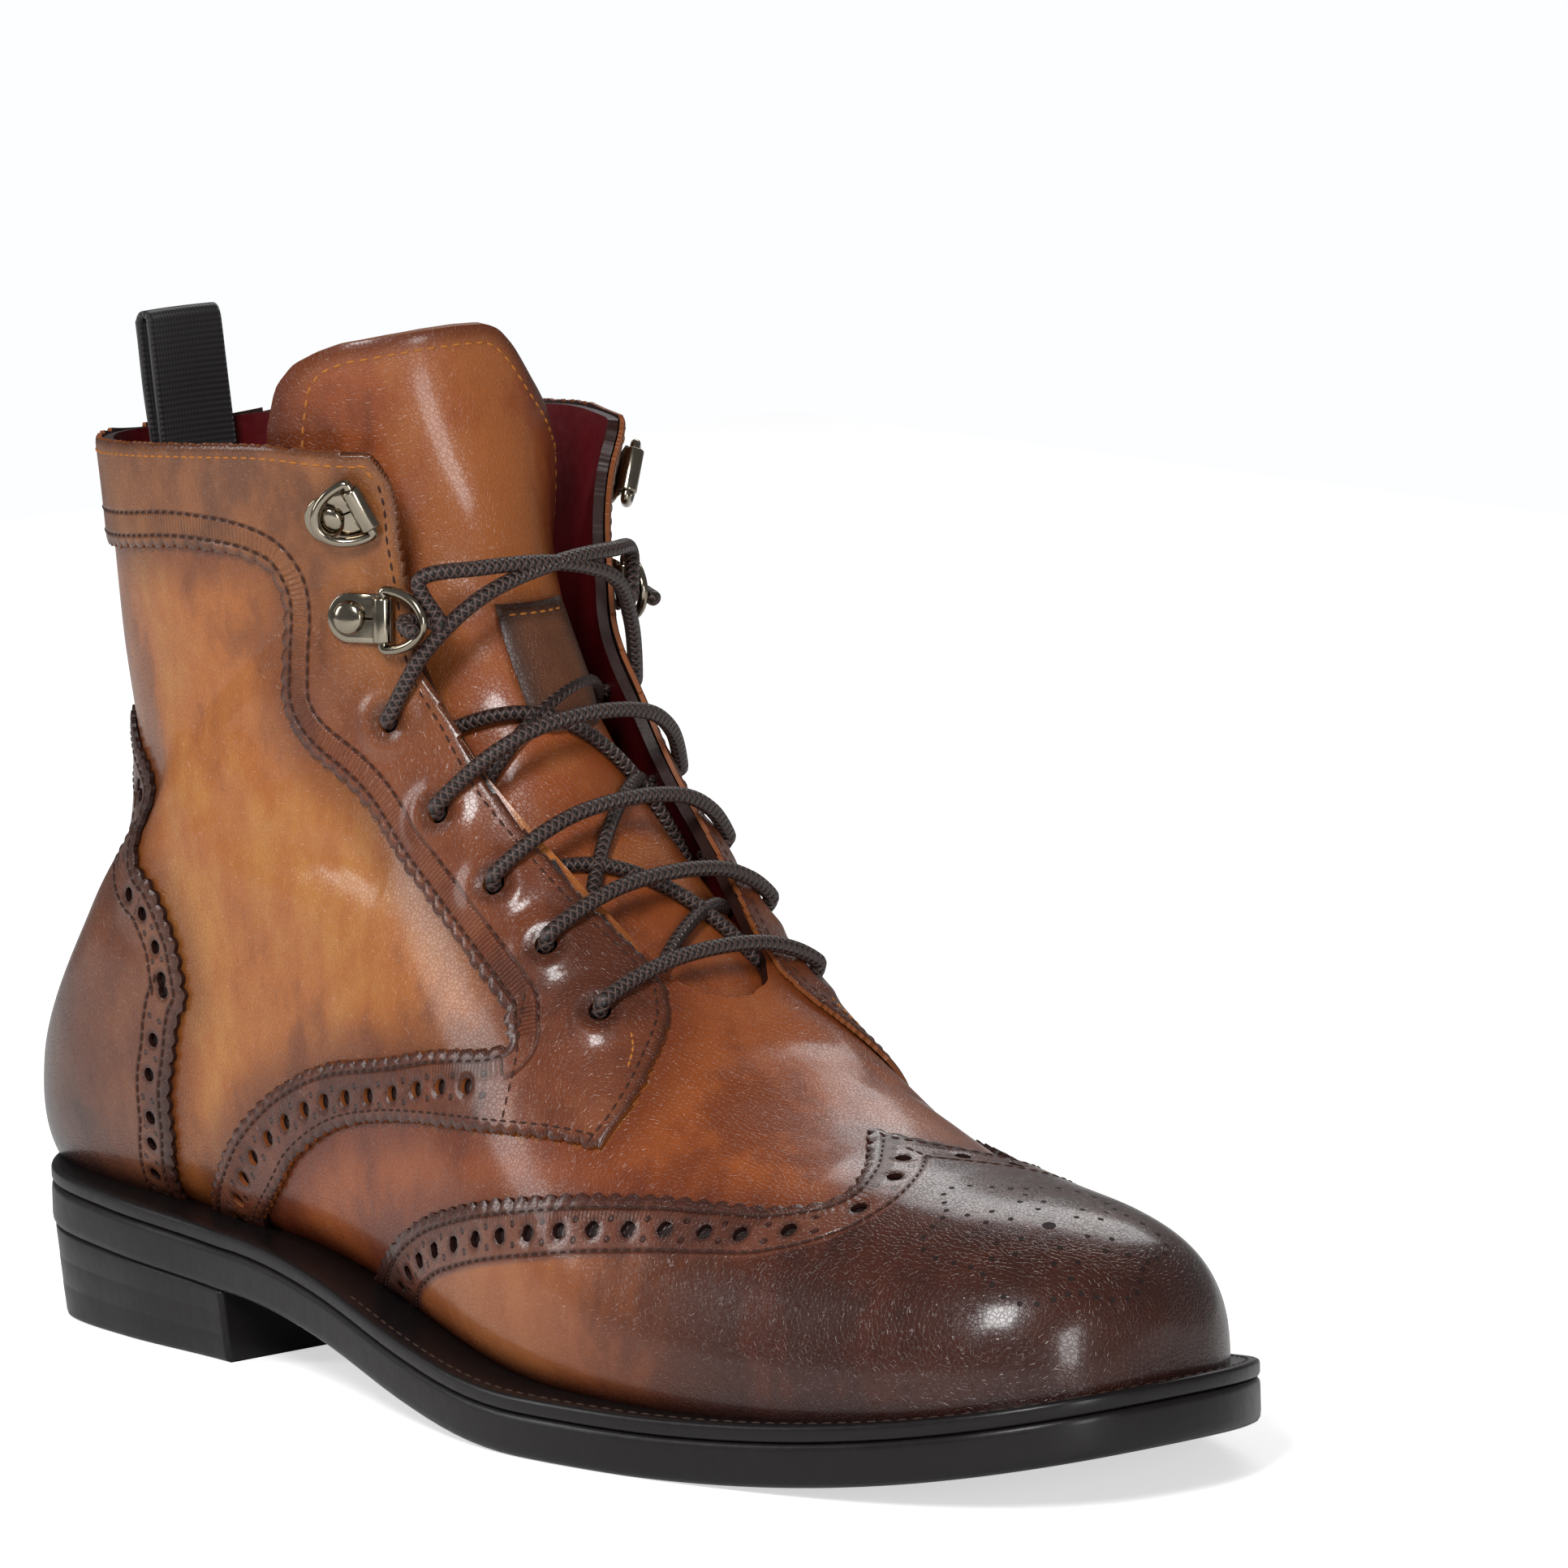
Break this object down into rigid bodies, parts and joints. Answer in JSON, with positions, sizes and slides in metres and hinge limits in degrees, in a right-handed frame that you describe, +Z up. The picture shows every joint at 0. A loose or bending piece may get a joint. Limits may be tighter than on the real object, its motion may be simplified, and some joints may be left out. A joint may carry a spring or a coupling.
{
  "type": "lace-up ankle boot",
  "caption": "Right brogue derby ankle boot: hollow leather upper, wing toe cap, counter, laced facings with D-rings, tongue, pull loop, welted leather sole and heel.",
  "frame": {"origin": "centre of the heel's tread face, on the floor", "axes": "+X forwards to the toe, +Y to the inner (medial) side of the foot, +Z up"},
  "size_m": [0.3066, 0.1073, 0.2033],
  "materials": {
    "sole_leather": "black-brown edge dressing, satin",
    "insole_leather": "natural leather, matt",
    "tan_leather": "hand-burnished tan calf, glossy",
    "brown_leather": "hand-burnished dark brown calf, glossy",
    "facing_leather": "hand-burnished brown calf, glossy, pale worn lights",
    "lining_leather": "burgundy lining leather, glossy",
    "webbing": "black ribbed webbing",
    "waxed_lace": "round waxed dark brown lace",
    "thread": "waxed thread",
    "antique_nickel": "polished antique nickel"
  },
  "bodies": {
    "boot": {"outsole": "sole_leather", "heel_block": "sole_leather", "welt": "sole_leather", "insole": "insole_leather", "upper": "tan_leather", "tongue": "tan_leather", "toe_cap": "brown_leather", "counter": "brown_leather", "quarter_lateral": "facing_leather", "quarter_medial": "facing_leather", "lace_keeper": "tan_leather", "pull_loop": "webbing", "lace_cross": "waxed_lace", "lace_bar_1": "waxed_lace", "lace_bar_2": "waxed_lace", "lace_bar_3": "waxed_lace", "lace_bar_4": "waxed_lace", "plate_upper_lateral": "antique_nickel", "rivet_upper_lateral": "antique_nickel", "plate_upper_medial": "antique_nickel", "rivet_upper_medial": "antique_nickel", "plate_laced_lateral": "antique_nickel", "rivet_laced_lateral": "antique_nickel", "ring_laced_lateral": "antique_nickel", "plate_laced_medial": "antique_nickel", "rivet_laced_medial": "antique_nickel", "ring_laced_medial": "antique_nickel"},
    "ring_upper_lateral": {"ring_upper_lateral": "antique_nickel"},
    "ring_upper_medial": {"ring_upper_medial": "antique_nickel"}
  },
  "joints": [
    {"name": "ring_upper_lateral_hinge", "type": "hinge", "parent": "boot", "child": "ring_upper_lateral", "pos_m": [0.08418, -0.03206, 0.16832], "axis": [-0.1987, -0.41, 0.8902], "range_deg": [0, 150]},
    {"name": "ring_upper_medial_hinge", "type": "hinge", "parent": "boot", "child": "ring_upper_medial", "pos_m": [0.08421, 0.03341, 0.16831], "axis": [0.1905, -0.4151, -0.8896], "range_deg": [0, 150]}
  ]
}
